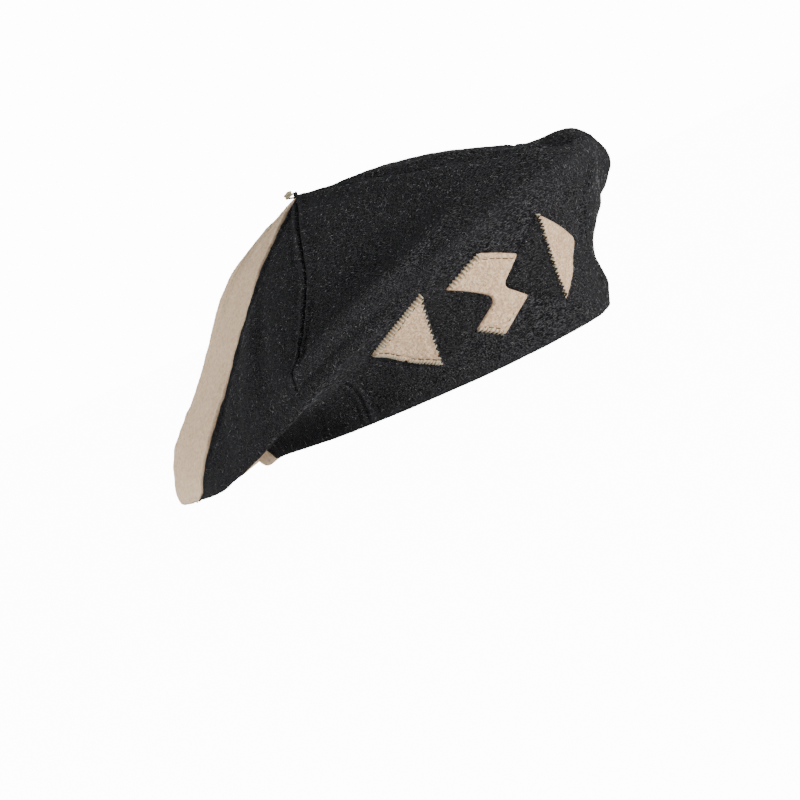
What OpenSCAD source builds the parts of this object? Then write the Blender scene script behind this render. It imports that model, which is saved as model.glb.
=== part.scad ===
// Wool beret with a pointed crown, sewn from six gores.
// Units are millimetres.  The origin is the middle of the head opening, in
// the plane of the hem.  Z points up out of the opening, the front of the
// hat faces -Y and the wearer's right is -X.

/* [Head opening] */
// Front to back length of the head opening, over the hem
opening_length = 205; // [198:1:212]
// Side to side width of the head opening, over the hem
opening_width = 172; // [166:1:178]
// Height the band stands up before it turns out to the crown
band_rise = 37; // [33:1:41]
// Height of the hem allowance turned up inside
hem_turn = 13; // [10:1:15]

/* [Crown] */
// Side to side width of the crown
crown_width = 262; // [254:1:270]
// Front to back length of the crown
crown_length = 246; // [240:1:254]
// How far the crown hangs over to the wearer's right
crown_shift = 3; // [0:1:6]
// Middle height of the crown edge above the hem
edge_height = 33; // [31:1:36]
// Rise and drop of the crown edge either side of its middle height
edge_tilt = 38; // [34:1:40]
// Direction of the highest part of the crown edge, 270 is the front
high_side = 295; // [288:1:302]
// Roundness of the fold at the crown edge
edge_round = 14; // [13:1:17]
// Extra height of the corner over the wearer's left temple
corner_lift = 7; // [3:1:9]
// How far the crown edge droops over the wearer's right ear
ear_droop = 14; // [9:0.5:16]

/* [Crown tip] */
// Height of the tip above the hem
tip_height = 107; // [102:1:114]
// How far the tip sits to the wearer's right
tip_right = 13; // [8:1:18]
// How far the tip sits behind the middle
tip_back = 20; // [14:1:24]

/* [Folds] */
// Depth of the soft hollow in the front gore
front_hollow = 11; // [5:1:12]
// Height of the creases along the near crown edge
crease = 4; // [1:0.5:4.5]
// Height of the pinched fold that runs from the tip to the corner
top_fold = 3.5; // [1:0.5:4]
// Depth of the hollow between that fold and the left side
top_hollow = 6; // [2:1:7]
// Fullness of the back gores between their seams
back_fullness = 4; // [1:0.5:5]
// How far the cloth rolls in at each seam
seam_dip = 1; // [0.4:0.1:1.2]

/* [Cloth] */
// Thickness of the wool cloth
wool_thick = 2; // [1.6:0.1:2.2]
// Thickness of the lining
lining_thick = 0.6; // [0.5:0.1:0.8]
// Slack between the wool and the lining
lining_slack = 0.3; // [0.3:0.1:0.4]
// Thickness of the sewn-on patches
patch_thick = 1.3; // [1:0.1:1.6]
// Height of the sweatband ribbon
ribbon_height = 24; // [20:1:26]
// Thickness of the sweatband ribbon
ribbon_thick = 0.9; // [0.7:0.1:1.1]

/* [Show] */
// Sub-part to build

/* [Hidden] */

black_wool = [0.16, 0.16, 0.17];
cream_wool = [0.8, 0.74, 0.65];
lining_satin = [0.09, 0.09, 0.1];
ribbon_black = [0.06, 0.06, 0.07];

rows = 28;
top_row = 1.988;
tip = [-tip_right, tip_back, tip_height];
up = [0, 0, 1];
lining_out = wool_thick + lining_slack;
lining_in = lining_out + lining_thick;
hem_thick = 2 * wool_thick + 0.4;

// Each seam: angle at the hem, at the crown edge and at the tip, then how far
// it bows sideways between hem and edge, and between edge and tip
seam_right = [213, 210, 222, 3, 2];
seam_right_back = [165, 175, 212, -16, -5];
seam_back = [120, 155, 180, 0, -8];
seam_left_back = [55, 81, 60, 0, 0];
seam_left_side = [2, 21, -10, 0, 0];
seam_left_front = [307, 308, 264, -15, 7];

// Soft bump of height one at c that has died away a width or two from it
function bump(x, c, w) = exp(-pow((x - c) / w, 2));
function turn_from(a, c) = ((a - c + 900) % 360) - 180;
function near(a, c, w) = bump(turn_from(a, c), 0, w);
function ease(x) = x * x * (3 - 2 * x);
function clip(x) = min(1, max(0, x));
function mix(p, q, s) = p + (q - p) * s;
function unit(v) = v / norm(v);
function oval(a, l, w) =
    l * w / 2 / sqrt(pow(w * sin(a), 2) + pow(l * cos(a), 2));
function curve(a, b, c, d, t) =
    pow(1 - t, 3) * a + 3 * pow(1 - t, 2) * t * b
    + 3 * (1 - t) * t * t * c + pow(t, 3) * d;

// The crown edge, all round
function low(a) = 0.5 - 0.5 * cos(a - high_side);
function corner(a) = near(a, 318, 16);
function edge_z(a) =
    edge_height + edge_tilt * cos(a - high_side) + corner_lift * corner(a)
    - ear_droop * near(a, 186, 25);
function edge_r(a) =
    oval(a, crown_length, crown_width) - 7 * corner(a);
function edge_point(a) =
    [edge_r(a) * cos(a) - crown_shift, edge_r(a) * sin(a) + 1, edge_z(a)];
function hem_point(a, z) =
    let (r = oval(a, opening_length, opening_width))
    [r * cos(a), r * sin(a), z];

// Height 0 is the hem, 1 the crown edge and 2 the tip
function band_at(a, v) =
    let (h = hem_point(a, 0), e = edge_point(a))
    curve(h, [h.x * 1.03, h.y * 1.03, band_rise],
          e - up * (edge_round + 1 + low(a)), e, v);
function top_at(a, v) =
    let (e = edge_point(a), flat = unit([e.x - tip.x, e.y - tip.y, 0]))
    curve(e, e + up * (edge_round + 2 * low(a)),
          tip + flat * (58 + 6 * low(a)) - up * (1 + 20 * low(a)), tip, v);
function plain(a, v) = v < 1 ? band_at(a, v) : top_at(a, v - 1);
function facing(a, v) =
    unit(cross(plain(a + 1, v) - plain(a - 1, v),
               plain(a, v + 0.01) - plain(a, v - 0.01)));

// Soft folds of the worn cloth
function fold_line(v) = 270 - 40 * (v - 1.45) + 26 * exp((1 - v) / 0.2);
function ridge_line(a) =
    1.08 + 0.0017 * (a - 213) + 0.0026 * pow(max(a - 240, 0), 1.3);
function relief(a, v) =
    crease * bump(v, ridge_line(a), 0.055) * near(a, 230, 24)
    - crease * 0.65 * bump(v, 0.975 - 0.001 * (a - 215), 0.05)
        * near(a, 219, 22)
    + crease * 0.9 * bump(v, 0.85 - 0.0018 * (a - 215), 0.075)
        * near(a, 213, 24)
    - front_hollow * bump(v, 1.4, 0.2) * near(a, 241, 21)
    + top_fold * bump(v, 1.45, 0.4) * near(a, fold_line(v), 7)
    - top_fold * 1.3 * bump(v, 1.4, 0.38) * near(a, fold_line(v) + 13, 7)
    - top_fold * bump(v, 1.2, 0.09) * near(a, 299, 7)
    + top_fold * 0.4 * bump(v, 1.22, 0.12) * near(a, 312, 6)
    - top_hollow * bump(v, 1.4, 0.17) * near(a, 318, 30)
    + back_fullness * bump(v, 1.5, 0.35) * near(a, 52, 20)
    + back_fullness * 0.6 * bump(v, 1.45, 0.35) * near(a, 108, 18)
    - back_fullness * bump(v, 1.5, 0.15) * near(a, 152, 26)
    + back_fullness * 0.35 * bump(v, 1.24, 0.1) * near(a, 150, 26)
    - back_fullness * 0.5 * bump(v, 1.91, 0.05) * near(a, 148, 26)
    - top_hollow * 0.35 * bump(v, 1.92, 0.08) * near(a, 314, 34)
    + crease * 0.5 * bump(v, 0.52, 0.09) * near(a, 322, 16)
    + back_fullness * 0.4 * bump(v, 1.76, 0.07) * near(a, 150, 26)
    + crease * 0.5 * bump(v, 1.3, 0.3) * near(a, 195, 4)
    - crease * 0.5 * bump(v, 1.25, 0.3) * near(a, 186, 5)
    - crease * 0.4 * bump(v, 0.5, 0.2) * near(a, 345, 14)
    - crease * 0.6 * bump(v, 0.28, 0.09) * near(a, 308, 13)
    + crease * 0.45 * bump(v, 0.11, 0.07) * near(a, 308, 13)
    - crease * 0.7 * bump(v, 1.04, 0.06) * near(a, 331, 9);

function cloth(a, v, deep) =
    plain(a, v) + facing(a, v) * (relief(a, v) - deep);

// Rows are closer together at the crown edge than at the hem and tip
function row_at(i, n, from, to) =
    let (s = i / (n - 1)) from + (to - from) * (s + 0.075 * sin(360 * s));
function seam_at(s, v) =
    mix(s[0], s[1], ease(clip(v))) + (s[2] - s[1]) * clip(v - 1)
    + s[3] * sin(180 * clip(v)) + s[4] * sin(180 * clip(v - 1));
// Columns: one close to each seam, the rest evenly between
function col_at(j, n) =
    j == 0 ? 0 : j == n - 1 ? 1 : mix(0.05, 0.95, (j - 1) / (n - 3));
function across(a, b, s, v) =
    let (p = seam_at(a, v), q = seam_at(b, v))
    p + (q > p ? q - p : q + 360 - p) * s;

// Join an outer and an inner net of points into one closed sheet
module sheet(outer, inner, n, m) {
    half = n * m;
    skin = [for (i = [0:n - 2], j = [0:m - 2]) each [
        [i * m + j, (i + 1) * m + j, (i + 1) * m + j + 1],
        [i * m + j, (i + 1) * m + j + 1, i * m + j + 1]]];
    back = [for (f = skin) [f[0] + half, f[2] + half, f[1] + half]];
    t = (n - 1) * m;
    foot = [for (j = [0:m - 2]) each [
        [j, j + 1, j + 1 + half],
        [j, j + 1 + half, j + half]]];
    head = [for (j = [0:m - 2]) each [
        [t + j + 1, t + j, t + j + half],
        [t + j + 1, t + j + half, t + j + 1 + half]]];
    left = [for (i = [0:n - 2]) each [
        [(i + 1) * m, i * m, i * m + half],
        [(i + 1) * m, i * m + half, (i + 1) * m + half]]];
    right = [for (i = [0:n - 2]) each [
        [i * m + m - 1, (i + 1) * m + m - 1, (i + 1) * m + m - 1 + half],
        [i * m + m - 1, (i + 1) * m + m - 1 + half, i * m + m - 1 + half]]];
    polyhedron(concat(outer, inner),
               concat(skin, back, foot, head, left, right), convexity = 8);
}

// The hem allowance is turned up inside, so the cloth is double there
function back_of(z) = z < hem_turn - 2 ? hem_thick
    : mix(hem_thick, wool_thick, ease(clip((z - hem_turn + 2) / 3)));
function roll(j, m) = (j == 0 || j == m - 1) ? seam_dip : 0;

module gore(a, b, m) {
    net = [for (i = [0:rows - 1], j = [0:m - 1])
        let (v = row_at(i, rows, 0, top_row))
        [across(a, b, col_at(j, m), v), v, roll(j, m) * clip(8 * (1.95 - v))]];
    outer = [for (p = net) cloth(p[0], p[1], p[2] + (p[1] < 0.001 ? 0.8 : 0))];
    inner = [for (k = [0:len(net) - 1])
        let (p = net[k], z = p[1] < 0.6 ? plain(p[0], p[1]).z : 99)
        cloth(p[0], p[1], back_of(p[1] < 0.34 ? z : 99)
              + (p[1] < 0.001 ? -0.8 : 0))];
    sheet(outer, inner, rows, m);
}

module lining(a, b, m) {
    net = [for (i = [5:rows - 1], j = [0:m - 1])
        let (v = row_at(i, rows, 0, top_row) - (i == rows - 1 ? 0.005 : 0))
        [across(a, b, col_at(j, m), v), v]];
    outer = [for (p = net) cloth(p[0], p[1], lining_out)];
    inner = [for (p = net) cloth(p[0], p[1], lining_in)];
    sheet(outer, inner, rows - 5, m);
}

// A ribbon standing inside the hem, at a given depth behind the hem line
module ribbon(from, to, deep, thick, z0, z1, m) {
    net = [for (i = [0:3], j = [0:m - 1])
        [mix(from, to, j / (m - 1)), mix(z0, z1, i / 3)]];
    function at(p, d) = hem_point(p[0], p[1])
        - [cos(p[0]), sin(p[0]), 0] * (d + p[1] * 0.02);
    outer = [for (p = net) at(p, deep)];
    inner = [for (p = net) at(p, deep + thick)];
    sheet(outer, inner, 4, m);
}

// A sewn-on patch between a left and a right edge, both listed upwards as
// [angle, height] pairs
module patch(left, right, lift, steps, m) {
    last = len(left) - 1;
    net = [for (k = [0:last * steps], j = [0:m - 1])
        let (i = min(last - 1, floor(k / steps)), s = k / steps - i)
        mix(mix(left[i], left[i + 1], s), mix(right[i], right[i + 1], s),
            j / (m - 1))];
    outer = [for (p = net) cloth(p[0], p[1], -lift - patch_thick)];
    inner = [for (p = net) cloth(p[0], p[1], -lift)];
    sheet(outer, inner, last * steps + 1, m);
}

// A round cord along a list of points
module cord(path, r) {
    n = len(path);
    sides = 8;
    function ahead(i) = unit(path[min(n - 1, i + 1)] - path[max(0, i - 1)]);
    function side(i) = unit(cross(ahead(i), [0.2, 0.1, 1]));
    ring = [for (i = [0:n - 1], k = [0:sides - 1])
        let (s = side(i), u = cross(s, ahead(i)), w = 360 * k / sides,
             q = (i == 0 || i == n - 1) ? r * 0.6 : r)
        path[i] + s * q * cos(w) + u * q * sin(w)];
    tube = [for (i = [0:n - 2], k = [0:sides - 1])
        let (a = i * sides + k, b = i * sides + (k + 1) % sides)
        each [[a, b, b + sides], [a, b + sides, a + sides]]];
    ends = [[for (k = [sides - 1:-1:0]) k],
            [for (k = [0:sides - 1]) (n - 1) * sides + k]];
    polyhedron(concat(ring), concat(tube, ends), convexity = 6);
}

// ---- Outer wool gores ----
module gore_front() {
    color(black_wool) gore(seam_right, seam_left_front, 22);
}

module gore_right_side() {
    color(black_wool) gore(seam_right_back, seam_right, 10);
}

module gore_right_back() {
    color(cream_wool) gore(seam_back, seam_right_back, 8);
}

module gore_back() {
    color(cream_wool) gore(seam_left_back, seam_back, 14);
}

module gore_left_back() {
    color(cream_wool) gore(seam_left_side, seam_left_back, 11);
}

module gore_left_side() {
    color(black_wool) gore(seam_left_front, seam_left_side, 14);
}

// ---- Lining gores ----
module lining_front() {
    color(lining_satin) lining(seam_right, seam_left_front, 22);
}

module lining_right_side() {
    color(lining_satin) lining(seam_right_back, seam_right, 10);
}

module lining_right_back() {
    color(lining_satin) lining(seam_back, seam_right_back, 8);
}

module lining_back() {
    color(lining_satin) lining(seam_left_back, seam_back, 14);
}

module lining_left_back() {
    color(lining_satin) lining(seam_left_side, seam_left_back, 11);
}

module lining_left_side() {
    color(lining_satin) lining(seam_left_front, seam_left_side, 14);
}

// ---- Sweatband ----
module sweatband() {
    color(ribbon_black)
        ribbon(91, 449, hem_thick + 0.4, ribbon_thick, 1, ribbon_height, 64);
}

module band_keeper() {
    color(ribbon_black)
        ribbon(84, 96, hem_thick + 0.6 + ribbon_thick, ribbon_thick,
               2, ribbon_height - 1, 6);
}

// ---- Sewn-on patches across the front gore ----
module patch_triangle_right() {
    color(cream_wool)
        patch([[225.4, 0.53], [240.3, 0.805]], [[239, 0.133], [241.3, 0.815]],
              0.3, 6, 5);
}

module patch_bolt() {
    color(cream_wool)
        patch([[250, 0.225], [256.9, 0.335], [255, 0.415], [246.4, 0.64],
               [256, 0.775]],
              [[256.5, 0.135], [265.6, 0.27], [260.6, 0.375], [260.6, 0.43],
               [265.5, 0.56]],
              0.3, 3, 6);
}

module patch_triangle_left() {
    color(cream_wool)
        patch([[277.5, 0.15], [273, 0.77]], [[278.1, 0.16], [286.4, 0.41]],
              0.3, 6, 6);
}

module patch_dark_right() {
    color(black_wool)
        patch([[240, 0.14], [242, 0.76]], [[249.2, 0.23], [245.8, 0.63]],
              0.3, 5, 5);
}

module patch_dark_left() {
    color(black_wool)
        patch([[267, 0.27], [266.6, 0.56]], [[276, 0.18], [272.2, 0.73]],
              0.3, 5, 5);
}

// ---- Crown tip ----
module crown_stem() {
    color(black_wool) translate(tip) rotate_extrude($fn = 24)
        polygon([[0, -4], [1.5, -4], [1.5, 2.6], [1, 3.2], [0, 3.4]]);
}

module crown_knot() {
    turns = 1.6;
    path = [for (k = [0:22])
        let (w = 360 * turns * k / 22)
        tip + [2.6 * cos(w), 2.6 * sin(w), 1.5 + 2.1 * w / 360]];
    color(cream_wool) cord(path, 0.85);
}

gore_front();
gore_right_side();
gore_right_back();
gore_back();
gore_left_back();
gore_left_side();
lining_front();
lining_right_side();
lining_right_back();
lining_back();
lining_left_back();
lining_left_side();
sweatband();
band_keeper();
patch_triangle_right();
patch_bolt();
patch_triangle_left();
patch_dark_right();
patch_dark_left();
crown_stem();
crown_knot();
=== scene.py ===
import math

import bpy
import numpy as np
from mathutils import Matrix, Vector, geometry

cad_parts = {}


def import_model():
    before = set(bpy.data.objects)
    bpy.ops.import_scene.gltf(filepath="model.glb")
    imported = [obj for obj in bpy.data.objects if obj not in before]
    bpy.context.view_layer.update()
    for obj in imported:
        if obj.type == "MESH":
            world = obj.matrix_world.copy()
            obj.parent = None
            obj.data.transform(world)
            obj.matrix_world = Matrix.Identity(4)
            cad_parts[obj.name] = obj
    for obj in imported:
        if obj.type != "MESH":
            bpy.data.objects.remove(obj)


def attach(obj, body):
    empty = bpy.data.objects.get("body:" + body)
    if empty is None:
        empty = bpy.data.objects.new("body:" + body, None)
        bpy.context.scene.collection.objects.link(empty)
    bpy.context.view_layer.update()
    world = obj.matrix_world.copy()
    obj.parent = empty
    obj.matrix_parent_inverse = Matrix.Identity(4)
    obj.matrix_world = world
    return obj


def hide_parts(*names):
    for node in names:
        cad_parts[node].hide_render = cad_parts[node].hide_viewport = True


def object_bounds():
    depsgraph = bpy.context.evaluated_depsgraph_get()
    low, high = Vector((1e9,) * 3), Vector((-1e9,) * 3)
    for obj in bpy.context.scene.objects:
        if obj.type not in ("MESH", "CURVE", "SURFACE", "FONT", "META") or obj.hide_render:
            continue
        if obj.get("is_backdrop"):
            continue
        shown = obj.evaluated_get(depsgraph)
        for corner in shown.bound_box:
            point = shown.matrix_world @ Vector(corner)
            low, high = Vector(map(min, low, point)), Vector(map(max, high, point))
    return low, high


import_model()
cad_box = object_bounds()

MM = 0.001

# ---------------------------------------------------------------- shape, mm
# The same driving dimensions as the part's own source
OPENING_L, OPENING_W, BAND_RISE = 205.0, 172.0, 37.0
CROWN_W, CROWN_L, CROWN_SHIFT = 262.0, 246.0, 3.0
EDGE_H, EDGE_TILT, HIGH_SIDE, EDGE_ROUND = 33.0, 38.0, 295.0, 14.0
CORNER_LIFT, EAR_DROOP = 7.0, 14.0
TIP = np.array([-13.0, 20.0, 107.0])
FRONT_HOLLOW, CREASE, TOP_FOLD, TOP_HOLLOW, BACK_FULL = 11.0, 4.0, 3.5, 6.0, 4.0
WOOL, LINING_OUT, LINING = 2.0, 2.3, 0.6
HEM_TURN, HEM_THICK = 13.0, 4.4
RIBBON_H, RIBBON_T, PATCH_T = 24.0, 0.9, 1.3
TOP_ROW = 1.988  # the gores end just short of the tip

# Each seam: angle at the hem, at the crown edge and at the tip, then how far
# it bows sideways between hem and edge, and between edge and tip
SEAM_RIGHT = (213.0, 210.0, 222.0, 3.0, 2.0)
SEAM_RIGHT_BACK = (165.0, 175.0, 212.0, -16.0, -5.0)
SEAM_BACK = (120.0, 155.0, 180.0, 0.0, -8.0)
SEAM_LEFT_BACK = (55.0, 81.0, 60.0, 0.0, 0.0)
SEAM_LEFT_SIDE = (2.0, 21.0, -10.0, 0.0, 0.0)
SEAM_LEFT_FRONT = (307.0, 308.0, 264.0, -15.0, 7.0)


def sin(a):
    return np.sin(np.radians(a))


def cos(a):
    return np.cos(np.radians(a))


def bump(x, c, w):
    return np.exp(-(((x - c) / w) ** 2))


def near(a, c, w):
    return bump((a - c + 900.0) % 360.0 - 180.0, 0.0, w)


def ease(x):
    return x * x * (3 - 2 * x)


def clip(x, lo=0.0, hi=1.0):
    return np.clip(x, lo, hi)


def stack(x, y, z):
    return np.stack(np.broadcast_arrays(x, y, z), axis=-1)


def unit(v):
    return v / np.maximum(np.linalg.norm(v, axis=-1, keepdims=True), 1e-9)


def oval(a, length, width):
    return length * width / 2 / np.sqrt((width * sin(a)) ** 2 + (length * cos(a)) ** 2)


def curve(a, b, c, d, t):
    t = t[..., None]
    return (1 - t) ** 3 * a + 3 * (1 - t) ** 2 * t * b + 3 * (1 - t) * t * t * c + t**3 * d


def plain(a, v):
    """The smooth shape: height 0 is the hem, 1 the crown edge and 2 the tip."""
    a, v = np.broadcast_arrays(np.asarray(a, float), np.asarray(v, float))
    low = 0.5 - 0.5 * cos(a - HIGH_SIDE)
    corner = near(a, 318, 16)
    er = oval(a, CROWN_L, CROWN_W) - 7 * corner
    ez = EDGE_H + EDGE_TILT * cos(a - HIGH_SIDE) + CORNER_LIFT * corner
    ez = ez - EAR_DROOP * near(a, 186, 25)
    e = stack(er * cos(a) - CROWN_SHIFT, er * sin(a) + 1, ez)
    hr = oval(a, OPENING_L, OPENING_W)
    h = stack(hr * cos(a), hr * sin(a), 0 * a)
    up = np.array([0.0, 0.0, 1.0])
    rise = stack(1.03 * h[..., 0], 1.03 * h[..., 1], BAND_RISE + 0 * a)
    band = curve(h, rise, e - up * (EDGE_ROUND + 1 + low)[..., None], e, clip(v))
    flat = unit((e - TIP) * np.array([1.0, 1.0, 0.0]))
    shoulder = e + up * (EDGE_ROUND + 2 * low)[..., None]
    near_tip = TIP + flat * (58 + 6 * low)[..., None] - up * (1 + 20 * low)[..., None]
    top = curve(e, shoulder, near_tip, np.broadcast_to(TIP, e.shape), clip(v - 1))
    return np.where((v <= 1)[..., None], band, top)


def facing(a, v):
    """The outward direction of the smooth shape."""
    a, v = np.broadcast_arrays(np.asarray(a, float), np.asarray(v, float))
    around = plain(a + 1, v) - plain(a - 1, v)
    upward = plain(a, np.minimum(v + 0.01, 1.999)) - plain(a, np.maximum(v - 0.01, 0))
    return unit(np.cross(around, upward))


def fold_line(v):
    return 270 - 40 * (v - 1.45) + 26 * np.exp((1 - v) / 0.2)


def relief(a, v):
    """The broad folds, as in the part's own source."""
    ridge = 1.08 + 0.0017 * (a - 213) + 0.0026 * (np.maximum(a - 240, 0) ** 1.3)
    return (
        CREASE * bump(v, ridge, 0.055) * near(a, 230, 24)
        - CREASE * 0.65 * bump(v, 0.975 - 0.001 * (a - 215), 0.05) * near(a, 219, 22)
        + CREASE * 0.9 * bump(v, 0.85 - 0.0018 * (a - 215), 0.075) * near(a, 213, 24)
        - FRONT_HOLLOW * bump(v, 1.4, 0.2) * near(a, 241, 21)
        + TOP_FOLD * bump(v, 1.45, 0.4) * near(a, fold_line(v), 7)
        - TOP_FOLD * 1.3 * bump(v, 1.4, 0.38) * near(a, fold_line(v) + 13, 7)
        - TOP_FOLD * bump(v, 1.2, 0.09) * near(a, 299, 7)
        + TOP_FOLD * 0.4 * bump(v, 1.22, 0.12) * near(a, 312, 6)
        - TOP_HOLLOW * bump(v, 1.4, 0.17) * near(a, 318, 30)
        + BACK_FULL * bump(v, 1.5, 0.35) * near(a, 52, 20)
        + BACK_FULL * 0.6 * bump(v, 1.45, 0.35) * near(a, 108, 18)
        - BACK_FULL * bump(v, 1.5, 0.15) * near(a, 152, 26)
        + BACK_FULL * 0.35 * bump(v, 1.24, 0.1) * near(a, 150, 26)
        - BACK_FULL * 0.5 * bump(v, 1.91, 0.05) * near(a, 148, 26)
        - TOP_HOLLOW * 0.35 * bump(v, 1.92, 0.08) * near(a, 314, 34)
        + CREASE * 0.5 * bump(v, 0.52, 0.09) * near(a, 322, 16)
        + BACK_FULL * 0.4 * bump(v, 1.76, 0.07) * near(a, 150, 26)
        + CREASE * 0.5 * bump(v, 1.3, 0.3) * near(a, 195, 4)
        - CREASE * 0.5 * bump(v, 1.25, 0.3) * near(a, 186, 5)
        - CREASE * 0.4 * bump(v, 0.5, 0.2) * near(a, 345, 14)
        - CREASE * 0.6 * bump(v, 0.28, 0.09) * near(a, 308, 13)
        + CREASE * 0.45 * bump(v, 0.11, 0.07) * near(a, 308, 13)
        - CREASE * 0.7 * bump(v, 1.04, 0.06) * near(a, 331, 9)
    )


def waves(p, size, seed, octaves=8):
    """Smooth noise of about unit size from a few plane waves; size is in mm."""
    r = np.random.default_rng(seed)
    out = 0.0
    for _ in range(octaves):
        d = r.normal(size=3)
        d /= np.linalg.norm(d)
        k = 2 * math.pi / (size * r.uniform(0.7, 1.5))
        out = out + np.sin((p @ d) * k + r.uniform(0, 6.28))
    return out / math.sqrt(octaves)


def fine(a, v):
    """Smaller creases of the used cloth that the solid model leaves out."""
    p = plain(a, v)
    ridge = 1.08 + 0.0017 * (a - 213) + 0.0026 * np.maximum(a - 240, 0) ** 1.3
    top = 279 + 24 * np.exp((1.465 - v) / 0.11)
    return (
        2.7 * bump(v, ridge, np.where(v < ridge, 0.045, 0.022)) * near(a, 235, 21)
        + 1.9 * bump(v, 0.975 - 0.001 * (a - 215), 0.05) * near(a, 219, 22)
        + 1.2 * bump(v, 0.888 - 0.001 * (a - 215), 0.06) * near(a, 216, 24)
        + 1.0 * bump(v, 1.64, 0.26) * near(a, top - 6, 4) * clip((1.97 - v) * 8)
        - 4.2 * bump(v, 1.68, 0.26) * near(a, top + 1, 4) * clip((1.97 - v) * 8)
        + 1.0 * bump(v, 1.6, 0.26) * near(a, top + 8, 3.5) * clip((1.97 - v) * 8)
        + 2.0 * bump(v, 1.24, 0.14) * near(a, 300, 4.5)
        - 4.5 * bump(v, 1.24, 0.11) * near(a, 308.5, 5)
        + 1.5 * bump(v, 1.24, 0.12) * near(a, 319, 4)
        + 0.8 * bump(v, 1.32, 0.24) * near(a, 199.5 - 7 * (v - 1.2), 2.2)
        - 0.7 * bump(v, 1.28, 0.24) * near(a, 203.5 - 9 * (v - 1.2), 2.4)
        + 0.9 * bump(v, 1.3, 0.26) * near(a, 189 - 5 * (v - 1.2), 2.5)
        - 0.8 * bump(v, 1.22, 0.2) * near(a, 193.5 - 8 * (v - 1.2), 2.5)
        + 0.45 * waves(p, 34, 11)
        + 0.14 * waves(p, 11, 12)
        + 0.03 * waves(p, 4.2, 13)
    )


def cloth(a, v, deep, extra=0.0):
    """Points of the used cloth, deep mm below its outer face."""
    lift = relief(a, v) + fine(a, v) + extra - deep
    sag = 3.4 * near(np.asarray(a, float), 152, 11) * clip(1 - 4 * np.asarray(v, float)) ** 2
    return plain(a, v) + facing(a, v) * lift[..., None] - stack(0.0, 0.0, sag)


def seam_at(s, v):
    band, top = clip(v), clip(v - 1)
    rise = s[0] + (s[1] - s[0]) * ease(band) + (s[2] - s[1]) * top
    return rise + s[3] * np.sin(math.pi * band) + s[4] * np.sin(math.pi * top)


def steps(grid, axis):
    """Lengths between neighbouring points of a grid."""
    return np.linalg.norm(np.diff(grid, axis=axis), axis=2)


def run_along(grid, axis):
    """Length from the first point, down the columns (0) or along the rows (1)."""
    length = np.cumsum(steps(grid, axis), axis=axis)
    return np.concatenate([np.zeros_like(length.take([0], axis)), length], axis=axis)


# ------------------------------------------------------------- mesh helpers
def make_object(name, verts, faces, uv=None, data=None):
    """verts in mm; faces is a list of index arrays, each n by 3 or n by 4."""
    verts = np.asarray(verts, float) * MM
    groups = [np.asarray(f, np.int32) for f in faces if len(f)]
    mesh = bpy.data.meshes.new(name)
    mesh.vertices.add(len(verts))
    mesh.vertices.foreach_set("co", verts.ravel())
    loops = np.concatenate([g.ravel() for g in groups])
    sizes = np.concatenate([np.full(len(g), g.shape[1]) for g in groups])
    mesh.loops.add(len(loops))
    mesh.loops.foreach_set("vertex_index", loops)
    mesh.polygons.add(len(sizes))
    mesh.polygons.foreach_set("loop_start", np.concatenate([[0], np.cumsum(sizes)[:-1]]))
    mesh.polygons.foreach_set("loop_total", sizes)
    mesh.update(calc_edges=True)
    mesh.validate()
    mesh.polygons.foreach_set("use_smooth", np.ones(len(mesh.polygons), bool))
    if uv is not None:
        layer = mesh.uv_layers.new(name="UVMap")
        layer.data.foreach_set("uv", (np.asarray(uv) * MM)[loops].ravel())
    for key, values in (data or {}).items():
        at = mesh.attributes.new(key, "FLOAT", "POINT")
        at.data.foreach_set("value", np.asarray(values, float).ravel())
    obj = bpy.data.objects.new(name, mesh)
    bpy.context.scene.collection.objects.link(obj)
    return obj


def shell_faces(n, m):
    """Faces of a closed sheet: an outer grid, an inner grid and four rims."""
    i, j = np.meshgrid(np.arange(n - 1), np.arange(m - 1), indexing="ij")
    k = (i * m + j).ravel()
    outer = np.stack([k, k + 1, k + m + 1, k + m], 1)
    half = n * m
    inner = np.stack([k, k + m, k + m + 1, k + 1], 1) + half
    j = np.arange(m - 1)
    t = (n - 1) * m
    foot = np.stack([j + 1, j, j + half, j + 1 + half], 1)
    head = np.stack([t + j, t + j + 1, t + j + 1 + half, t + j + half], 1)
    i = np.arange(n - 1) * m
    left = np.stack([i, i + m, i + m + half, i + half], 1)
    i = i + m - 1
    right = np.stack([i + m, i, i + half, i + m + half], 1)
    return np.concatenate([outer, inner, foot, head, left, right])


def shell(name, outer, inner, uv=None, data=None):
    n, m = outer.shape[:2]
    verts = np.concatenate([outer.reshape(-1, 3), inner.reshape(-1, 3)])
    if uv is not None:
        uv = np.concatenate([uv.reshape(-1, 2), uv.reshape(-1, 2)])
    if data:
        data = {k: np.concatenate([x.ravel(), x.ravel()]) for k, x in data.items()}
    return make_object(name, verts, [shell_faces(n, m)], uv, data)


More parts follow.
